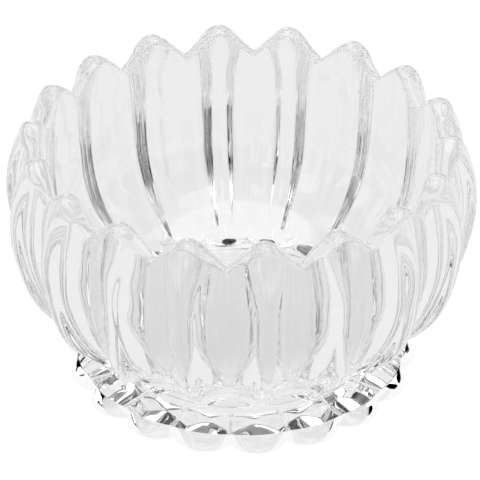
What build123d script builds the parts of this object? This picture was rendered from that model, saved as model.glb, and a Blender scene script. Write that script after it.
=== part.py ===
from build123d import *
import math
import os

# Pressed crystal bowl with a fluted wall, a scalloped rim and a lobed foot. Millimetres, +Z up.
# The origin is the centre of the resting face, and one ridge of the wall lies on the -Y side.

# Counts
ridges = 18
wall_sections = 13

# Driving sizes of the bowl
overall_height = 113.4
belly_radius = 99.8
belly_wall = 16.2
flute_depth = 8.0
flute_depth_at_seat = 2.5
flute_rise = 29.0
ridge_round = 5.7
bulge_level = 79.5
wall_bulge_radius = 700.0
floor_corner_radius = 45.0
floor_thickness = 12.0

# Driving sizes of the scalloped rim
scallop_depth = 11.4
scallop_flank_slope = 0.85
rim_edge_round = 2.2

# Driving sizes of the foot
foot_height = 10.6
seat_radius = 55.5
flare_reach = 7.5
lobe_reach = 75.7
lobe_relief = 6.4
lobe_thickness = 7.6
crease_width = 0.6
base_ring_radius = 64.2
base_ring_drop = 0.4
recess_radius = 50.0
recess_depth = 2.0
recess_slope = 1.5

# Every cutting tool runs past what it cuts by this much
overrun = 4.0

# A ridge's line up the wall: shares of the wall's height, and of the way out from seat to belly
ridge_height_shares = (0, 0.025, 0.091, 0.155, 0.254, 0.376, 0.519, 0.665, 0.792, 0.905, 1.05)
ridge_reach_shares = (0, 0.156, 0.327, 0.463, 0.693, 0.856, 0.953, 0.998, 0.980, 0.910, 0.760)

# The most of the rim's thinnest wall that the rounding of one edge may take
rim_round_share = 0.44

# Angles round a lobe's full round edge, from its underside to its top
edge_angles = (-60, 0, 45, 90)

# Worked out from the sizes above
pitch = 360 / ridges
half_pitch = math.radians(pitch / 2)
wall_height = overall_height - foot_height
inside_radius = belly_radius - belly_wall
floor_level = foot_height + floor_thickness
rim_top = overall_height + overrun
rim_line_radius = inside_radius + 2 * rim_edge_round
lobe_middle = base_ring_drop + lobe_thickness / 2
lobe_top = base_ring_drop + lobe_thickness


def around(radius, turn):
    return (radius * math.sin(turn), -radius * math.cos(turn))


def flute_section(ridge_radius, depth, height):
    """A closed outline: one rounded ridge between two half flutes, and two lines to the axis."""
    ridge_curve = ridge_round * ridge_radius / belly_radius
    ridge_centre = ridge_radius - ridge_curve
    valley_radius = ridge_radius - depth

    # The flute's arc touches the ridge's and is square to the valley's radius
    valley_gap = ridge_centre * math.cos(half_pitch) - valley_radius
    span = ridge_centre ** 2 + valley_radius ** 2 - 2 * ridge_centre * valley_radius * math.cos(half_pitch)
    flute_curve = (span - ridge_curve ** 2) / (2 * (ridge_curve + valley_gap))
    flute_x, flute_y = around(valley_radius + flute_curve, half_pitch)
    share = ridge_curve / (ridge_curve + flute_curve)
    touch = (flute_x * share, flute_y * share - ridge_centre * (1 - share))
    touch_turn = math.atan2(flute_x - touch[0], touch[1] - flute_y)
    middle_turn = (touch_turn + half_pitch) / 2
    middle = (flute_x - flute_curve * math.sin(middle_turn), flute_y + flute_curve * math.cos(middle_turn))

    right = [touch, middle, around(valley_radius, half_pitch)]
    left = [(-x, y) for x, y in reversed(right)]
    points = [(x, y, height) for x, y in left + [(0, -ridge_radius)] + right]
    falling = (math.cos(half_pitch), -math.sin(half_pitch), 0)
    rising = (math.cos(half_pitch), math.sin(half_pitch), 0)
    curve = Spline(*points, tangents=[falling, rising])
    axis_point = (0, 0, height)
    return Wire([curve, Line(curve @ 1, axis_point), Line(axis_point, curve @ 0)])


def lobe_section(crest_radius, valley_radius, height):
    """A closed outline: one lobe's arc, run a little past both valleys, and two lines to the axis."""
    valley_out = valley_radius * math.cos(half_pitch)
    centre = (crest_radius ** 2 - valley_radius ** 2) / (2 * (crest_radius - valley_out))
    arc_radius = crest_radius - centre
    sweep = 1.1 * math.atan2(valley_radius * math.sin(half_pitch), valley_out - centre)
    side = arc_radius * math.sin(sweep)
    out = centre + arc_radius * math.cos(sweep)
    arc = ThreePointArc((-side, -out, height), (0, -crest_radius, height), (side, -out, height))
    axis_point = (0, 0, height)
    return Wire([arc, Line(arc @ 1, axis_point), Line(axis_point, arc @ 0)])


def sector_wedge(reach, height):
    """The room between two valley planes, one ridge or lobe wide."""
    corner_reach = (reach + overrun) / math.cos(half_pitch)
    corners = Polyline((0, 0), around(corner_reach, half_pitch), around(corner_reach, -half_pitch), close=True)
    return extrude(make_face(corners), height)


def all_round(sector):
    sectors = [Rot(0, 0, k * pitch) * sector for k in range(ridges)]
    return sectors[0].fuse(*sectors[1:])


def ridge_line():
    """A ridge's line from the seat to above the rim, as radius and height."""
    points = []
    for height_share, reach_share in zip(ridge_height_shares, ridge_reach_shares):
        radius = seat_radius + reach_share * (belly_radius - seat_radius)
        points.append((radius, foot_height + height_share * wall_height))
    return Spline(*points)


def wall_body():
    """The outside of one ridge and its half flutes: a loft of even steps up the ridge's line."""
    line = ridge_line()
    sections = []
    for step in range(wall_sections):
        ridge_radius, height, _ = line @ (step / (wall_sections - 1))
        rise = min(1, (height - foot_height) / flute_rise)
        gain = (flute_depth - flute_depth_at_seat) * math.sin(math.pi / 2 * rise)
        sections.append(flute_section(ridge_radius, flute_depth_at_seat + gain, height))
    return Solid.make_loft(sections)


def inside_space():
    """The smooth room inside the bowl: a flat floor, a round corner and a wall that bulges slightly."""
    bulge_centre = (inside_radius - wall_bulge_radius, bulge_level)
    corner_level = floor_level + floor_corner_radius
    apart = wall_bulge_radius - floor_corner_radius
    corner_centre = (bulge_centre[0] + math.sqrt(apart ** 2 - (bulge_level - corner_level) ** 2), corner_level)
    join_angle = math.degrees(math.atan2(corner_level - bulge_level, corner_centre[0] - bulge_centre[0]))
    top_angle = math.degrees(math.asin((rim_top - bulge_level) / wall_bulge_radius))
    corner = CenterArc(corner_centre, floor_corner_radius, -90, join_angle + 90)
    wall = CenterArc(bulge_centre, wall_bulge_radius, join_angle, top_angle - join_angle)
    lid = Polyline(wall @ 1, (0, rim_top), (0, floor_level), corner @ 0)
    return revolve(make_face(Plane.XZ * (corner + wall + lid)), Axis.Z, 360)


def rim_cutter():
    """What lies above one ridge's stretch of the rim: a wave that is level along every radius."""
    half_chord = rim_line_radius * math.tan(half_pitch)
    valley_height = overall_height - scallop_depth
    rise = (1, scallop_flank_slope)
    fall = (1, -scallop_flank_slope)
    wave = Spline(
        (-half_chord, valley_height), (0, overall_height), (half_chord, valley_height), tangents=[rise, fall]
    )
    beyond = half_chord + overrun
    turn_up = valley_height + overrun * scallop_flank_slope
    lid = Polyline(
        wave @ 1,
        (beyond, turn_up),
        (beyond, rim_top + overrun),
        (-beyond, rim_top + overrun),
        (-beyond, turn_up),
        wave @ 0,
    )
    outline = make_face(wave + lid)
    wires = []
    for radius in (inside_radius - 4 * overrun, belly_radius + overrun):
        wide = scale(outline, by=(radius / rim_line_radius, 1, 1))
        plane = Plane(origin=(0, -radius, 0), x_dir=(1, 0, 0), z_dir=(0, -1, 0))
        wires.append((plane * wide).wire())
    return Solid.make_loft(wires, ruled=True)


def rim_round():
    """The rounding of the rim's edges, held to what the thin wall between two ridges can take."""
    valley_level = overall_height - scallop_depth
    line = ridge_line()
    low, high = 0, 1
    while high - low > 0.001:
        middle = (low + high) / 2
        if (line @ middle).Y < valley_level:
            low = middle
        else:
            high = middle
    outside = (line @ low).X - flute_depth
    drop = wall_bulge_radius - math.sqrt(wall_bulge_radius ** 2 - (valley_level - bulge_level) ** 2)
    return min(rim_edge_round, rim_round_share * (outside - inside_radius + drop))


def bowl_sector():
    """One ridge with its share of wall and floor, its rim scalloped and rounded over."""
    wedge = sector_wedge(belly_radius, rim_top)
    sector = ((Part() + wall_body()) & wedge) - inside_space() - rim_cutter()
    rim_edges = []
    for edge in sector.edges():
        start = edge @ 0
        end = edge @ 1
        above = (edge @ 0.5).Z > overall_height - scallop_depth
        radial = abs(math.hypot(start.X, start.Y) - math.hypot(end.X, end.Y)) > rim_edge_round / 2
        if above and not radial:
            rim_edges.append(edge)
    return fillet(rim_edges, rim_round())


def lobe_body():
    """One lobe of the foot: a loft of outlines that follows its full round edge."""
    edge_radius = lobe_thickness / 2
    sections = []
    for angle in edge_angles:
        crest_radius = lobe_reach - edge_radius * (1 - math.cos(math.radians(angle)))
        height = lobe_middle + edge_radius * math.sin(math.radians(angle))
        sections.append(lobe_section(crest_radius, crest_radius - lobe_relief, height))
    return Solid.make_loft(sections)


def turned_middle():
    """The middle of the foot: its resting ring below, and above it a hollow flare from seat to lobes."""
    flare_rise = foot_height - lobe_top
    flare_end = seat_radius + flare_reach
    flare_radius = (flare_reach ** 2 + flare_rise ** 2) / (2 * flare_rise)
    flare_sweep = math.degrees(math.asin(flare_reach / flare_radius))
    flare = CenterArc((flare_end, lobe_top + flare_radius), flare_radius, -90, -flare_sweep)
    outline = Polyline(
        flare @ 1,
        (0, foot_height),
        (0, 0),
        (base_ring_radius, 0),
        (base_ring_radius + base_ring_drop, base_ring_drop),
        (base_ring_radius + base_ring_drop, lobe_middle),
        (flare_end, lobe_middle),
        flare @ 0,
    )
    return revolve(make_face(Plane.XZ * (flare + outline)), Axis.Z, 360)


def recess_space():
    """The shallow hollow in the underside, inside the resting ring."""
    outline = Polyline(
        (0, -overrun),
        (recess_radius + recess_slope, -overrun),
        (recess_radius + recess_slope, 0),
        (recess_radius, recess_depth),
        (0, recess_depth),
        close=True,
    )
    return revolve(make_face(Plane.XZ * outline), Axis.Z, 360)


def on_valley_plane(point):
    return math.isclose(abs(point.X), -point.Y * math.tan(half_pitch), rel_tol=0.001)


def foot_sector():
    """One lobe with its share of flare, resting ring and recess, its top chamfered off into the creases."""
    wedge = sector_wedge(lobe_reach, foot_height + overrun)
    sector = (((Part() + lobe_body()) + turned_middle()) & wedge) - recess_space()
    crease_edges = []
    for edge in sector.edges():
        middle = edge @ 0.5
        top = lobe_middle < middle.Z < foot_height and min((edge @ 0).Z, (edge @ 1).Z) > lobe_middle
        beyond_seat = math.hypot(middle.X, middle.Y) > seat_radius
        if top and beyond_seat and on_valley_plane(edge @ 0) and on_valley_plane(edge @ 1):
            crease_edges.append(edge)
    return chamfer(crease_edges, crease_width)


os.makedirs("parts", exist_ok=True)
for name, sector in (("bowl", bowl_sector()), ("foot", foot_sector())):
    export_step(all_round(sector), f"parts/{name}.step")
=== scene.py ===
import math
import bpy
from mathutils import Matrix, Vector


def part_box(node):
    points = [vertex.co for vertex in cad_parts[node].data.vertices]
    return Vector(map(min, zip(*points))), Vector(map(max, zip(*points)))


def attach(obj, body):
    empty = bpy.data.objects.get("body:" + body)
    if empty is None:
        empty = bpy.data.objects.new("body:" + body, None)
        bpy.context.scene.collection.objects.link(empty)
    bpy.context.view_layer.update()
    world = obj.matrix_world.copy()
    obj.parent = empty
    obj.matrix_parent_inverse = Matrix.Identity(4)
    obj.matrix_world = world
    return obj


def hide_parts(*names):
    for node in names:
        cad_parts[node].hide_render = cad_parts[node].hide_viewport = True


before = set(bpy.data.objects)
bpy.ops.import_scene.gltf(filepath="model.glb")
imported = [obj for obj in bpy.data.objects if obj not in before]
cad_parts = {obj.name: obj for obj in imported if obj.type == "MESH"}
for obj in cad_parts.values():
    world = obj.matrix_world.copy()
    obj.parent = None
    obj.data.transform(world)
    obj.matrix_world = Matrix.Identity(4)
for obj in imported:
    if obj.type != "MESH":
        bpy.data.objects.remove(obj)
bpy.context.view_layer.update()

# A clear pressed crystal bowl: fluted wall with rounded ridges, scalloped rim, and a foot with round lobes.
# Metres, +Z up. Angles start at the ridge on the -Y side and go round towards +X.

mm = 0.001

# Heights and greatest radii, read from the frame
bowl_low, bowl_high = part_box("bowl")
foot_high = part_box("foot")[1]
overall_height = bowl_high[2]
seat_height = bowl_low[2]
belly_radius = bowl_high[1]
lobe_reach = foot_high[1]

# Counts: ridges round the bowl, and the columns and rows of the two meshes
ridges = 18
columns_per_ridge = 56
seat_rows = 8
neck_rows = 6
curl_rows = 16
wall_rows = 64
rim_rows = 16
inside_rows = 50
corner_rows = 24
foot_top_rows = 60
side_rows = 14
edge_rows = 12

# Sizes of the bowl
belly_wall = 16.2 * mm
flute_depth = 8.0 * mm
flute_depth_at_seat = 2.5 * mm
flute_rise = 29.0 * mm
ridge_round = 5.7 * mm
seat_radius = 55.5 * mm
bulge_level = 79.5 * mm
wall_bulge_radius = 700.0 * mm
floor_corner_radius = 45.0 * mm
floor_thickness = 12.0 * mm

# The ridge line of the wall: shares of the wall's height, and of the way out from seat to belly
ridge_height_shares = (0, 0.025, 0.091, 0.155, 0.254, 0.376, 0.519, 0.665, 0.792, 0.905, 1.05)
ridge_reach_shares = (0, 0.156, 0.327, 0.463, 0.693, 0.856, 0.953, 0.998, 0.980, 0.910, 0.760)

# The wall's lower end curls in to a round neck: the curl's level under a ridge, how much higher it is between
# two ridges, the power by which it climbs from one to the other, and how tall the curl is
curl_level = 13.8 * mm
curl_step = 4.7 * mm
curl_step_power = 1.5
curl_height = 6.0 * mm
neck_radius = 56.0 * mm

# The scalloped rim. Its round takes at most a share of the wall, and over the last stretch below it the
# wall's ridges and flutes change to those of the rim.
scallop_depth = 11.9 * mm
rim_line_radius = 88.0 * mm
scallop_flank_slope = 0.8
rim_round = 3.2 * mm
rim_wall_share = 0.48
rim_squareness = 2.3
rim_flute_depth = 6.3 * mm
rim_ridge_round = 12.0 * mm
rim_change = 30.0 * mm

# The faint waviness of fire-polished glass. Each wave has its share of the depth, its count round the bowl,
# how it climbs, and where it starts. The inside has the same waves, turned by an angle.
wave_depth = 0.2 * mm
wave_length = 34.0 * mm
mean_wave_share = 0.5
waves = ((0.18, 7, 1.0, 0.7), (0.18, 17, -0.8, 2.1), (0.12, 29, 1.7, 4.0))
inside_wave_turn = 1.0

# Sizes of the foot
lobe_relief = 6.4 * mm
lobe_thickness = 7.6 * mm
flare_reach = 6.5 * mm
crease_width = 1.1 * mm
crease_depth = 0.5 * mm
panel_reach = 71.9 * mm
panel_relief = 0.9 * mm
widest_level = 1.6 * mm
base_ring_radius = 64.2 * mm
base_ring_drop = 0.4 * mm
recess_radius = 50.0 * mm
recess_depth = 2.0 * mm
recess_slope = 1.5 * mm

# Where the rings of points lie on the flat faces, as shares of each face's radius
seat_start_share = 0.25
bowl_floor_shares = (0.75, 0.5, 0.25)
foot_seat_shares = (0.3, 0.6, 1.0)
recess_shares = (0.8, 0.5, 0.25)

# How the rows crowd towards the panels' edge, and the columns towards ridges, crests and creases
panel_row_power = 0.85
ridge_even_share = 0.7
lobe_end_crowding = 0.7

# The glass
glass_ior = 1.52
darkest_tint = 0.868
lightest_tint = 0.898
tint_scale = 14
tint_detail = 1
ripple_scale = 60
ripple_detail = 2
ripple_strength = 0.1
ripple_depth = 0.06 * mm

# How near the seat's level a face lies that belongs to the hot joint
seat_tolerance = 0.01 * mm

# The floor, and how brightly it lights the glass, against white for the floor that the camera sees
floor_side = 8.0
floor_drop = 0.1 * mm
floor_shade = 0.05
floor_roughness = 0.9
floor_gloss = 0.1
floor_glow = 0.915

# The light round the bowl. A broad noise is spread over the sky, and these pairs of noise and brightness
# say how bright it is in the lit zones and in the dark gap.
sky_scale = (3.0, 3.0, 2.0)
sky_shift = (4.0, 2.0, 0.0)
lit_zone = ((0.34, 0.2), (0.42, 0.8), (0.58, 0.88), (0.62, 1.5))
dark_gap = ((0.30, 0.0), (0.60, 0.0), (0.62, 1.5), (0.90, 1.8))

# How much of the gap, and of the light overhead, there is at each height: 0 is level and 1 straight up
gap_by_height = ((0.0, 0.0), (0.03, 0.0), (0.06, 1.0), (0.54, 1.0), (0.58, 0.65), (0.80, 0.65), (0.88, 0.0))
overhead_by_height = ((0.0, 0.0), (0.88, 0.0), (0.91, 1.0), (1.0, 1.0))
overhead_brightness = 2.6

# How often light may bend or bounce in the glass, and pass through the hot joint
glass_bounces = 80
joint_passes = 16

pitch = 2 * math.pi / ridges
half_pitch = pitch / 2
wall_height = overall_height - seat_height
inside_radius = belly_radius - belly_wall
floor_level = seat_height + floor_thickness
lobe_top = base_ring_drop + lobe_thickness

# The inside wall is two round stretches: the corner over the floor, and the bulge up to the rim
bulge_centre = inside_radius - wall_bulge_radius
corner_level = floor_level + floor_corner_radius
centres_apart = wall_bulge_radius - floor_corner_radius
corner_centre = bulge_centre + math.sqrt(centres_apart ** 2 - (bulge_level - corner_level) ** 2)
join_angle = math.atan2(corner_level - bulge_level, corner_centre - bulge_centre)
join_level = bulge_level + wall_bulge_radius * math.sin(join_angle)


def smooth_table(places, values):
    """A function that runs smoothly through a short table, a natural cubic spline."""
    last = len(places) - 1
    steps = [places[i + 1] - places[i] for i in range(last)]
    slopes = [(values[i + 1] - values[i]) / steps[i] for i in range(last)]
    upper = [0.0] * (last + 1)
    bend = [0.0] * (last + 1)
    for i in range(1, last):
        span = 2 * (places[i + 1] - places[i - 1]) - steps[i - 1] * upper[i - 1]
        upper[i] = steps[i] / span
        bend[i] = (3 * (slopes[i] - slopes[i - 1]) - steps[i - 1] * bend[i - 1]) / span
    for i in range(last - 1, 0, -1):
        bend[i] -= upper[i] * bend[i + 1]

    def value(place):
        i = 0
        while i < last - 1 and place > places[i + 1]:
            i += 1
        gone = place - places[i]
        start_slope = slopes[i] - steps[i] * (2 * bend[i] + bend[i + 1]) / 3
        cubic = (bend[i + 1] - bend[i]) / (3 * steps[i])
        return values[i] + gone * (start_slope + gone * (bend[i] + gone * cubic))

    return value


ridge_share_at = smooth_table(ridge_height_shares, ridge_reach_shares)


def smooth_step(share):
    """0 below 0 and 1 above 1, with a smooth climb between them."""
    share = min(max(share, 0), 1)
    return share * share * (3 - 2 * share)


def from_ridge(angle):
    """How far round from the nearest ridge, 0 on it and 1 in the hollow between two."""
    return abs((angle + half_pitch) % pitch - half_pitch) / half_pitch


def wall_radius(turn, height):
    """Radius of the fluted wall by the turn from a ridge: its arc, and the flute's wider hollow arc."""
    ridge = seat_radius + ridge_share_at((height - seat_height) / wall_height) * (belly_radius - seat_radius)
    near_rim = smooth_step((height - overall_height + rim_change) / rim_change)
    rise = min((height - seat_height) / flute_rise, 1)
    depth = flute_depth_at_seat + (flute_depth - flute_depth_at_seat) * math.sin(math.pi / 2 * rise)
    depth += (rim_flute_depth - flute_depth) * near_rim
    curve = (ridge_round + (rim_ridge_round - ridge_round) * near_rim) * ridge / belly_radius
    middle = ridge - curve
    valley = ridge - depth
    # The hollow's circle is centred outside the wall in line with the valley, and touches the ridge's circle
    gap = middle * math.cos(half_pitch) - valley
    span = middle ** 2 + valley ** 2 - 2 * middle * valley * math.cos(half_pitch)
    hollow = (span - curve ** 2) / (2 * (curve + gap))
    share = curve / (curve + hollow)
    touch_across = (valley + hollow) * math.sin(half_pitch) * share
    touch_out = middle + ((valley + hollow) * math.cos(half_pitch) - middle) * share
    if turn * touch_out <= touch_across:
        return middle * math.cos(turn) + math.sqrt(max(curve ** 2 - (middle * math.sin(turn)) ** 2, 0))
    back = half_pitch - turn
    centre = valley + hollow
    return centre * math.cos(back) - math.sqrt(max(hollow ** 2 - (centre * math.sin(back)) ** 2, 0))


def curl_start(angle):
    """Height at which the wall's curl begins: a zigzag line, low under a ridge and high between two."""
    return curl_level + curl_step * from_ridge(angle) ** curl_step_power


def waviness(angle, height):
    """How far the glass falls short of its true form: never outside it."""
    along = 2 * math.pi * height / wave_length
    share = mean_wave_share
    for depth_share, count, climb, start in waves:
        share += depth_share * math.sin(count * angle + climb * along + start)
    return wave_depth * share


def inside_waviness(angle, height):
    """The waviness of the inside, which takes glass away there too."""
    return waviness(angle + inside_wave_turn, height)


def outside(angle, height):
    """Radius of the bowl's outside: a round neck over the seat, and the fluted wall that curls out of it."""
    wall = wall_radius(from_ridge(angle) * half_pitch, height) - waviness(angle, height)
    above = (height - curl_start(angle)) / curl_height
    if above >= 1:
        return wall
    if above <= 0:
        return neck_radius
    return neck_radius + (wall - neck_radius) * math.sqrt(1 - (1 - above) ** 2)


def inside(angle, height):
    """Radius of the bowl's inside, from the join with the corner up to the rim."""
    bulge = math.sqrt(wall_bulge_radius ** 2 - (height - bulge_level) ** 2)
    return inside_waviness(angle, height) + bulge_centre + bulge


def rim_height(angle):
    """The scalloped rim: high on the ridges, low in the hollows."""
    share = math.tan(from_ridge(angle) * half_pitch) / math.tan(half_pitch)
    end_slope = -scallop_flank_slope * rim_line_radius * math.tan(half_pitch) / scallop_depth
    wave = 2 * share ** 3 - 3 * share ** 2 + 1 + end_slope * (share ** 3 - share ** 2)
    return overall_height - scallop_depth * (1 - wave)


def outer_points(angle, base):
    """Radius and height from the seat's middle, up the neck, the curl and the wall to the rim's round."""
    curl = curl_start(angle)
    curl_top = curl + curl_height
    heights = [seat_height + (curl - seat_height) * row / neck_rows for row in range(neck_rows)]
    for row in range(curl_rows):
        heights.append(curl + curl_height * (1 - math.cos(math.pi / 2 * row / curl_rows)))
    heights += [curl_top + (base - curl_top) * row / wall_rows for row in range(wall_rows + 1)]
    seat_shares = [seat_start_share + (1 - seat_start_share) * row / seat_rows for row in range(seat_rows)]
    points = [(neck_radius * share, seat_height) for share in seat_shares]
    return points + [(outside(angle, height), height) for height in heights]


def rim_points(angle, top, cap):
    """The round over the wall's end: half of a squarish oval that leans as the wall does."""
    base = top - cap
    middle = (outside(angle, base) + inside(angle, base)) / 2
    half = (outside(angle, base) - inside(angle, base)) / 2
    lean = (outside(angle, top) + inside(angle, top)) / 2 - middle
    power = 2 / rim_squareness
    points = []
    for row in range(1, rim_rows):
        turn = math.pi * row / rim_rows
        across = math.copysign(abs(math.cos(turn)) ** power, math.cos(turn))
        rise = math.sin(turn) ** power
        points.append((middle + half * across + lean * rise, base + cap * rise))
    return points


def inner_points(angle, base):
    """Radius and height from the rim's round, down the inside and round the corner, in over the floor."""
    heights = [base + (join_level - base) * row / inside_rows for row in range(inside_rows + 1)]
    points = [(inside(angle, height), height) for height in heights]
    corner_radius = floor_corner_radius + inside_waviness(angle, join_level)
    for row in range(1, corner_rows + 1):
        turn = join_angle - (math.pi / 2 + join_angle) * row / corner_rows
        across = corner_radius * math.cos(turn)
        points.append((corner_centre + across, corner_level + floor_corner_radius * math.sin(turn)))
    return points + [(corner_centre * share, floor_level) for share in bowl_floor_shares]


def bowl_section(angle):
    """Radius and height from the middle of the seat, up the outside, over the rim and down to the floor."""
    top = rim_height(angle)
    cap = min(rim_round, rim_wall_share * (outside(angle, top) - inside(angle, top)))
    return outer_points(angle, top - cap) + rim_points(angle, top, cap) + inner_points(angle, top - cap)


def lobe_edge(angle, crest, relief):
    """Radius of a row of lobes at an angle, from their crest and how far they fall back between two."""
    valley = crest - relief
    out = valley * math.cos(half_pitch)
    centre = (crest ** 2 - valley ** 2) / (2 * (crest - out))
    turn = from_ridge(angle) * half_pitch
    return centre * math.cos(turn) + math.sqrt((crest - centre) ** 2 - (centre * math.sin(turn)) ** 2)


def foot_top(angle, radius):
    """Height of the foot's top: flat panels that meet in creases, and a flare up to the neck."""
    height = lobe_top
    climb = 1 - (radius - neck_radius) / flare_reach
    if climb > 0:
        height += (seat_height - lobe_top) * (1 - math.sqrt(max(1 - climb ** 2, 0)))
    beside = (1 - from_ridge(angle)) * half_pitch * radius / crease_width
    if beside < 1:
        fade = min((seat_height - height) / (seat_height - lobe_top), 1)
        height -= crease_depth * (1 - beside) ** 2 * max(fade, 0)
    return height


def foot_section(angle):
    """Radius and height from the middle of the seat, out over a panel, down its lobe and in to the hollow."""
    tip = lobe_edge(angle, lobe_reach, lobe_relief)
    panel = lobe_edge(angle, panel_reach, panel_relief)
    points = [(neck_radius * share, seat_height) for share in foot_seat_shares]
    for row in range(1, foot_top_rows + 1):
        out = math.sin(math.pi / 2 * row / foot_top_rows) ** panel_row_power
        radius = neck_radius + (panel - neck_radius) * out
        points.append((radius, foot_top(angle, radius)))
    edge_level = points[-1][1]
    for row in range(1, side_rows + 1):
        left = 1 - row / side_rows
        points.append((tip - (tip - panel) * left ** 2, widest_level + (edge_level - widest_level) * left))
    under = widest_level - base_ring_drop
    for row in range(1, edge_rows + 1):
        turn = math.pi / 2 * row / edge_rows
        radius = lobe_edge(angle, lobe_reach - under * (1 - math.cos(turn)), lobe_relief)
        points.append((radius, widest_level - under * math.sin(turn)))
    points += [
        (base_ring_radius + base_ring_drop, base_ring_drop),
        (base_ring_radius, 0),
        (recess_radius + recess_slope, 0),
        (recess_radius, recess_depth),
    ]
    return points + [(recess_radius * share, recess_depth) for share in recess_shares]


def crowd_ridge(share):
    """Columns closer together on a ridge than in the hollow."""
    return ridge_even_share * share + (1 - ridge_even_share) * share ** 3


def crowd_ends(share):
    """Columns closer together on a lobe's crest and in the crease between two."""
    return share - lobe_end_crowding * math.sin(2 * math.pi * share) / (2 * math.pi)


def turned_mesh(name, section, crowd):
    """A closed mesh from a section that changes with the angle; crowd places its columns across a ridge."""
    turns = ridges * columns_per_ridge
    angles = []
    for column in range(turns):
        ridge, step = divmod(column, columns_per_ridge)
        share = 2 * step / columns_per_ridge - 1
        angles.append(pitch * ridge + half_pitch * math.copysign(crowd(abs(share)), share))
    sections = [section(angle) for angle in angles]
    rows = len(sections[0])
    vertices = [
        (radius * math.sin(angle), -radius * math.cos(angle), height)
        for angle, points in zip(angles, sections)
        for radius, height in points
    ]
    first = len(vertices)
    vertices += [(0, 0, sections[0][0][1]), (0, 0, sections[0][-1][1])]
    faces = []
    for column in range(turns):
        here = column * rows
        there = (column + 1) % turns * rows
        faces.append((first, there, here))
        faces.append((first + 1, here + rows - 1, there + rows - 1))
        for row in range(rows - 1):
            faces.append((here + row, there + row, there + row + 1, here + row + 1))
    mesh = bpy.data.meshes.new(name)
    mesh.from_pydata(vertices, [], faces)
    piece = bpy.data.objects.new(name, mesh)
    bpy.context.collection.objects.link(piece)
    return piece


def grey(level):
    """An opaque grey."""
    return (level, level, level, 1)


def noise(nodes, links, place, scale, detail):
    """A noise from 0 to 1 over a place."""
    cloud = nodes.new("ShaderNodeTexNoise")
    cloud.inputs["Scale"].default_value = scale
    cloud.inputs["Detail"].default_value = detail
    links.new(place, cloud.inputs["Vector"])
    return cloud.outputs["Fac"]


def greys(nodes, links, value, stops):
    """A ramp of greys over a value, from pairs of place and level."""
    ramp = nodes.new("ShaderNodeValToRGB")
    elements = ramp.color_ramp.elements
    for end in (0, -1):
        elements[end].position = stops[end][0]
        elements[end].color = grey(stops[end][1])
    for place, level in stops[1:-1]:
        elements.new(place).color = grey(level)
    links.new(value, ramp.inputs["Fac"])
    return ramp.outputs["Color"]


def mix_over(nodes, links, share, below):
    """A mix of colours that starts from the one below; its colour B is left to the caller."""
    mix = nodes.new("ShaderNodeMix")
    mix.data_type = "RGBA"
    links.new(share, mix.inputs["Factor"])
    links.new(below, mix.inputs["A"])
    return mix


def crystal(name):
    """Clear crystal with a hardly visible cloudiness, and the fine ripple of fire polishing."""
    material = bpy.data.materials.new(name)
    material.use_nodes = True
    nodes = material.node_tree.nodes
    links = material.node_tree.links
    shader = nodes["Principled BSDF"]
    shader.inputs["Transmission Weight"].default_value = 1.0
    shader.inputs["IOR"].default_value = glass_ior
    shader.inputs["Roughness"].default_value = 0.0
    place = nodes.new("ShaderNodeTexCoord").outputs["Object"]
    cloud = noise(nodes, links, place, tint_scale, tint_detail)
    tint = greys(nodes, links, cloud, ((0.0, darkest_tint), (1.0, lightest_tint)))
    links.new(tint, shader.inputs["Base Color"])
    bump = nodes.new("ShaderNodeBump")
    bump.inputs["Strength"].default_value = ripple_strength
    bump.inputs["Distance"].default_value = ripple_depth
    links.new(noise(nodes, links, place, ripple_scale, ripple_detail), bump.inputs["Height"])
    links.new(bump.outputs["Normal"], shader.inputs["Normal"])
    return material


def hot_joint():
    """Where bowl and foot are melted together, light passes straight on."""
    material = bpy.data.materials.new("hot_joint")
    material.use_nodes = True
    nodes = material.node_tree.nodes
    nodes.clear()
    output = nodes.new("ShaderNodeOutputMaterial")
    clear = nodes.new("ShaderNodeBsdfTransparent")
    material.node_tree.links.new(clear.outputs["BSDF"], output.inputs["Surface"])
    return material


def dress(piece, slot, node, joint):
    """Materials, smooth shading and the frame's calls for one piece of glass."""
    piece.data.materials.append(crystal(slot))
    piece.data.materials.append(joint)
    for face in piece.data.polygons:
        face.use_smooth = True
        heights = [piece.data.vertices[v].co.z for v in face.vertices]
        on_seat = all(abs(height - seat_height) < seat_tolerance for height in heights)
        if on_seat and math.hypot(face.center.x, face.center.y) < neck_radius:
            face.use_smooth = False
            face.material_index = 1
    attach(piece, "root")
    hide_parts(node)


def floor():
    """A pale floor that the camera sees as white, and that lights the glass a little less brightly."""
    bpy.ops.mesh.primitive_plane_add(size=floor_side, location=(0, 0, -floor_drop))
    ground = bpy.context.object
    ground.name = "floor"
    material = bpy.data.materials.new("pale_floor")
    material.use_nodes = True
    nodes = material.node_tree.nodes
    links = material.node_tree.links
    shader = nodes["Principled BSDF"]
    shader.inputs["Base Color"].default_value = grey(floor_shade)
    shader.inputs["Roughness"].default_value = floor_roughness
    shader.inputs["Specular IOR Level"].default_value = floor_gloss
    shader.inputs["Emission Color"].default_value = grey(1)
    seen = nodes.new("ShaderNodeLightPath")
    glow = nodes.new("ShaderNodeMapRange")
    glow.inputs["To Min"].default_value = floor_glow
    glow.inputs["To Max"].default_value = 1.0
    links.new(seen.outputs["Is Camera Ray"], glow.inputs["Value"])
    links.new(glow.outputs["Result"], shader.inputs["Emission Strength"])
    ground.data.materials.append(material)


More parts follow.
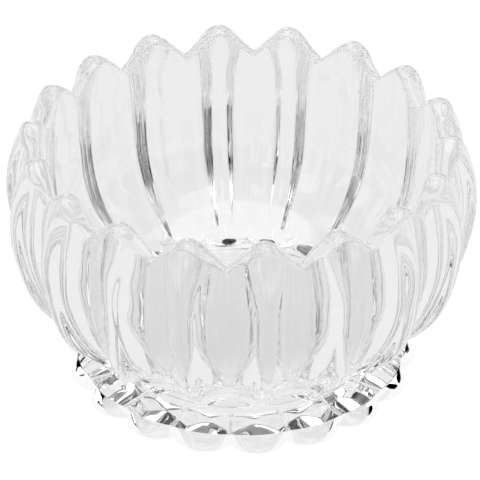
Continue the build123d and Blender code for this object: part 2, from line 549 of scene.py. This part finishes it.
def sky():
    """A studio lit along the horizon and overhead, with a dark gap between that bright windows break up."""
    world = bpy.data.worlds.new("studio")
    bpy.context.scene.world = world
    world.use_nodes = True
    nodes = world.node_tree.nodes
    links = world.node_tree.links
    background = nodes["Background"]
    background.inputs["Strength"].default_value = 1.0
    direction = nodes.new("ShaderNodeTexCoord").outputs["Generated"]
    spread = nodes.new("ShaderNodeMapping")
    spread.inputs["Scale"].default_value = sky_scale
    spread.inputs["Location"].default_value = sky_shift
    links.new(direction, spread.inputs["Vector"])
    screens = noise(nodes, links, spread.outputs["Vector"], scale=1.0, detail=0.0)
    split = nodes.new("ShaderNodeSeparateXYZ")
    links.new(direction, split.inputs[0])
    height = split.outputs["Z"]
    lit = greys(nodes, links, screens, lit_zone)
    sides = mix_over(nodes, links, greys(nodes, links, height, gap_by_height), lit)
    links.new(greys(nodes, links, screens, dark_gap), sides.inputs["B"])
    overhead = greys(nodes, links, height, overhead_by_height)
    whole = mix_over(nodes, links, overhead, sides.outputs["Result"])
    whole.inputs["B"].default_value = grey(overhead_brightness)
    links.new(whole.outputs["Result"], background.inputs["Color"])


def camera():
    """The photograph's viewpoint: a long lens, 33 degrees above level, 6 degrees round to the left."""
    elevation = math.radians(33.27)
    turn = math.radians(-6.23)
    distance = 1385 * mm
    raised = 48.7 * mm
    sideways = -0.35 * mm
    nearest = 50 * mm
    sensor_width = 36.0  # in millimetres, as Blender's cameras have it
    focal_length = 237.9
    back = Vector((0, -math.cos(elevation), math.sin(elevation)))
    up = Vector((0, math.sin(elevation), math.cos(elevation)))
    right = Vector((1, 0, 0))
    lens = bpy.data.cameras.new("camera")
    lens.sensor_width = sensor_width
    lens.lens = focal_length
    lens.clip_start = nearest
    viewer = bpy.data.objects.new("camera", lens)
    bpy.context.collection.objects.link(viewer)
    place = Matrix.Translation(back * distance + up * raised + right * sideways)
    axes = Matrix((right, up, back)).transposed().to_4x4()
    viewer.matrix_world = Matrix.Rotation(turn, 4, "Z") @ place @ axes
    bpy.context.scene.camera = viewer


melted = hot_joint()
dress(turned_mesh("bowl_shell", bowl_section, crowd_ridge), "bowl_glass", "bowl", melted)
dress(turned_mesh("foot_ring", foot_section, crowd_ends), "foot_glass", "foot", melted)
floor()
sky()
camera()

scene = bpy.context.scene
scene.view_settings.view_transform = "Standard"
scene.cycles.max_bounces = glass_bounces
scene.cycles.transmission_bounces = glass_bounces
scene.cycles.glossy_bounces = glass_bounces
scene.cycles.transparent_max_bounces = joint_passes
